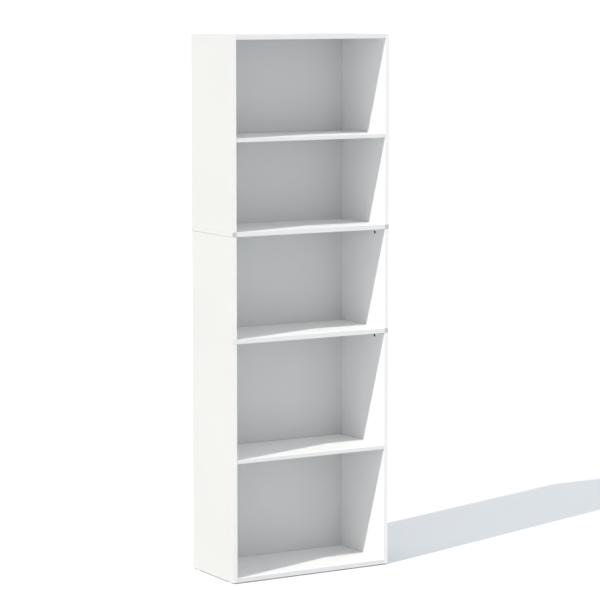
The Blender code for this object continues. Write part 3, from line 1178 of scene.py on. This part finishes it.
def pin_moulding():
    """A shelf pin along +Z: a ribbed spigot, a collar, and a peg with a flat on +X."""
    tip = PIN_ROUNDING
    spigot = PIN_SPIGOT_RADIUS
    groove = spigot - PIN_CHAMFER
    profile = [(0.0, -PIN_SPIGOT), (spigot - tip, -PIN_SPIGOT)]
    profile += arc((spigot - tip, tip - PIN_SPIGOT), tip, -75, 0, 3)
    for rib in PIN_RIBS:
        radii = (groove, groove, spigot, spigot)
        profile += [(radius, rib + stop) for radius, stop in zip(radii, PIN_RIB_STOPS)]
    top = TOUCH + PIN_COLLAR
    soft = PIN_COLLAR_ROUNDING
    profile += [(spigot, TOUCH), (PIN_COLLAR_RADIUS - PIN_CHAMFER, TOUCH)]
    profile += arc((PIN_COLLAR_RADIUS - soft, top - soft), soft, 0, 90, 3)
    profile += [(PIN_PEG_RADIUS + PIN_CHAMFER, top), (PIN_PEG_RADIUS, top + PIN_CHAMFER)]
    profile += arc((PIN_PEG_RADIUS - tip, PIN_PEG - tip), tip, 0, 90, 4)
    profile += [(0.0, PIN_PEG)]
    bm = turned(profile)
    sliced = bmesh.ops.bisect_plane(
        bm,
        geom=bm.verts[:] + bm.edges[:] + bm.faces[:],
        dist=WELD,
        plane_co=(PIN_FLAT, 0.0, 0.0),
        plane_no=RIGHT,
        clear_outer=True,
    )
    rim = [item for item in sliced["geom_cut"] if isinstance(item, bmesh.types.BMEdge)]
    bmesh.ops.contextual_create(bm, geom=rim)
    bmesh.ops.recalc_face_normals(bm, faces=bm.faces)
    return smooth_round(mesh_from(bm, "pin", [pin_nylon()]))


def glide_moulding():
    """A push-in glide that stands on Z = 0, with a barbed stem."""
    soft = GLIDE_ROUNDING
    groove = GLIDE_STEM - GLIDE_CHAMFER
    profile = [(0.0, 0.0), (GLIDE_RADIUS - soft, 0.0)]
    profile += arc((GLIDE_RADIUS - soft, soft), soft, -60, 0, 4)
    profile += [
        (GLIDE_RADIUS, GLIDE_FOOT - GLIDE_CHAMFER),
        (GLIDE_RADIUS - GLIDE_CHAMFER, GLIDE_FOOT),
        (groove, GLIDE_FOOT),
    ]
    for barb in GLIDE_BARBS:
        profile += [(GLIDE_STEM - GLIDE_BARB_FOOT, barb), (GLIDE_STEM, barb)]
        profile += [(groove, barb + GLIDE_BARB_HEIGHT)]
    profile += [(GLIDE_STEM - GLIDE_POINT, GLIDE_TIP), (0.0, GLIDE_TIP)]
    return smooth_round(mesh_from(turned(profile, DRUM_SIDES), "glide", [white_nylon()]))


class BOOKCASE_OT_cam_locks(bpy.types.Operator):
    """Build the cam locks in the sides and in the end panels"""

    bl_idname = "bookcase.cam_locks"
    bl_label = "Cam Locks"

    def execute(self, context):
        drum = cam_drum()
        for holder in (*FIXED_SHELVES, *END_PANELS):
            for side_name, side, row in CORNERS:
                node = f"cam_{holder}_{side_name}_{row}"
                low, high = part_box(node)
                middle = (low + high) / 2
                if holder in END_PANELS:
                    face = (middle.x, middle.y, low.z)
                    matrix = turned_to(face, DOWN, (side, 0.0, 0.0))
                else:
                    face = (low.x if side > 0 else high.x, middle.y, middle.z)
                    matrix = turned_to(face, (-side, 0.0, 0.0), UP)
                fitted(drum, node, matrix, "drum", "cam")
        return {"FINISHED"}


class BOOKCASE_OT_cam_bolts(bpy.types.Operator):
    """Build the bolts that the cam locks draw tight"""

    bl_idname = "bookcase.cam_bolts"
    bl_label = "Cam Bolts"

    def execute(self, context):
        for holder in (*FIXED_SHELVES, *END_PANELS):
            upright = holder in FIXED_SHELVES
            passes = CAM_SETBACK + (BOARD + TOUCH if upright else 0.0)
            rod = bolt_rod(passes)
            for side_name, side, row in CORNERS:
                node = f"bolt_{holder}_{side_name}_{row}"
                low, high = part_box(node)
                middle = (low + high) / 2
                if upright:
                    matrix = Matrix.Translation((middle.x, middle.y, low.z + BOLT_HEAD))
                else:
                    inner = low.x if side > 0 else high.x
                    head = (inner + side * BOLT_HEAD, middle.y, middle.z)
                    matrix = turned_to(head, (side, 0.0, 0.0), UP)
                fitted(rod, node, matrix, "rod", "bolt")
        return {"FINISHED"}


class BOOKCASE_OT_shelf_pins(bpy.types.Operator):
    """Build the four pins under each adjustable shelf"""

    bl_idname = "bookcase.shelf_pins"
    bl_label = "Shelf Pins"

    def execute(self, context):
        moulding = pin_moulding()
        for shelf in LOOSE_SHELVES:
            for side_name, side, row in CORNERS:
                node = f"pin_{shelf}_{side_name}_{row}"
                low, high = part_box(node)
                wall = (high.x if side > 0 else low.x) - side * PIN_SPIGOT
                place = (wall, (low.y + high.y) / 2, low.z + PIN_COLLAR_RADIUS)
                matrix = turned_to(place, (-side, 0.0, 0.0), UP)
                fitted(moulding, node, matrix, "moulding", "pin")
        return {"FINISHED"}


class BOOKCASE_OT_hole_caps(bpy.types.Operator):
    """Close the spare pin holes with white caps"""

    bl_idname = "bookcase.hole_caps"
    bl_label = "Hole Caps"

    def execute(self, context):
        cap = smooth_round(mesh_from(turned(CAP_PROFILE), "cap", [white_nylon()]))
        for side_name, side in SIDES.items():
            for section in LOOSE_OF:
                places = pin_places(side_name, section, spare_only=True)
                matrices = [turned_to(place, (-side, 0.0, 0.0), UP) for place in places]
                gathered(f"hole_caps_{side_name}_{section}", cap, matrices, "glide")
        return {"FINISHED"}


class BOOKCASE_OT_glides(bpy.types.Operator):
    """Build the four glides under the sides"""

    bl_idname = "bookcase.glides"
    bl_label = "Glides"

    def execute(self, context):
        moulding = glide_moulding()
        for side_name, _, row in CORNERS:
            node = f"glide_{side_name}_{row}"
            middle = middle_of(node)
            matrix = Matrix.Translation((middle.x, middle.y, 0.0))
            fitted(moulding, node, matrix, "moulding", "glide")
        return {"FINISHED"}


# Stage

# Where the camera and the key light stand and look, and the share of the sky's height over which
# the light from all round changes from its horizon to its overhead strength
CAMERA_PLACE = (-4.3716, -7.4616, 1.934)
CAMERA_TURN = (math.radians(90 - 6.745), 0.0, math.radians(-30.573))
KEY_PLACE = (-3.0, -1.0, 3.0)
KEY_DIRECTION = (0.7164, 0.2282, -0.6594)
FILL_RISE = (0.12, 0.3)


def make_world(stage):
    world = bpy.data.worlds.new("studio")
    world.use_nodes = True
    bpy.context.scene.world = world
    tree = world.node_tree
    background = tree.nodes["Background"]
    background.inputs["Color"].default_value = (*stage.fill_color, 1.0)
    direction = tree.nodes.new("ShaderNodeTexCoord").outputs["Generated"]
    split = add_node(tree, "ShaderNodeSeparateXYZ", {"Vector": direction})
    strength = ranged(tree, split.outputs["Z"], stage.fill_horizon, stage.fill_zenith, FILL_RISE)
    tree.links.new(strength, background.inputs["Strength"])


def make_key(stage):
    data = bpy.data.lights.new("key", "SUN")
    data.color = stage.sun_color
    data.energy = stage.sun_strength
    data.angle = stage.sun_angle
    obj = add_object("key", data)
    obj.location = KEY_PLACE
    obj.rotation_mode = "QUATERNION"
    obj.rotation_quaternion = Vector(KEY_DIRECTION).to_track_quat("-Z", "Y")


class BOOKCASE_OT_stage(bpy.types.Operator):
    """Lay the floor, set the light and place the camera"""

    bl_idname = "bookcase.stage"
    bl_label = "Stage"

    def execute(self, context):
        stage = context.scene.bookcase_stage
        bm = bmesh.new()
        bmesh.ops.create_grid(bm, x_segments=1, y_segments=1, size=stage.floor_size / 2)
        floor = add_object("floor", mesh_from(bm, "floor", [pale_floor()]))

        make_world(stage)
        make_key(stage)
        data = bpy.data.cameras.new("camera")
        data.lens = stage.lens
        data.clip_end = stage.floor_size
        camera = add_object("camera", data)
        camera.location = CAMERA_PLACE
        camera.rotation_euler = CAMERA_TURN
        context.scene.camera = camera
        context.scene.view_settings.view_transform = "Standard"
        return {"FINISHED"}


# Add-on


STEPS = (
    BOOKCASE_OT_side_sections,
    BOOKCASE_OT_end_panels,
    BOOKCASE_OT_fixed_shelves,
    BOOKCASE_OT_adjustable_shelves,
    BOOKCASE_OT_edge_bands,
    BOOKCASE_OT_back_sheets,
    BOOKCASE_OT_back_nails,
    BOOKCASE_OT_cam_locks,
    BOOKCASE_OT_cam_bolts,
    BOOKCASE_OT_shelf_pins,
    BOOKCASE_OT_hole_caps,
    BOOKCASE_OT_glides,
    BOOKCASE_OT_stage,
)


class VIEW3D_PT_bookcase(bpy.types.Panel):
    """The bookcase's settings and the steps that build it"""

    bl_label = "Bookcase"
    bl_idname = "VIEW3D_PT_bookcase"
    bl_space_type = "VIEW_3D"
    bl_region_type = "UI"
    bl_category = "Bookcase"

    def draw(self, context):
        layout = self.layout
        for name in SETTINGS:
            group = getattr(context.scene, name)
            column = layout.box().column()
            for setting in group.bl_rna.properties:
                if setting.identifier not in {"rna_type", "name"}:
                    column.prop(group, setting.identifier)
        for step in STEPS:
            layout.operator(step.bl_idname)


CLASSES = (*SETTINGS.values(), *STEPS, VIEW3D_PT_bookcase)


def register():
    for each in CLASSES:
        bpy.utils.register_class(each)
    for name, group in SETTINGS.items():
        setattr(bpy.types.Scene, name, bpy.props.PointerProperty(type=group))


def unregister():
    for name in SETTINGS:
        delattr(bpy.types.Scene, name)
    for each in reversed(CLASSES):
        bpy.utils.unregister_class(each)


def main():
    register()
    for step in STEPS:
        group, name = step.bl_idname.split(".")
        getattr(getattr(bpy.ops, group), name)()


if __name__ == "__main__":
    main()
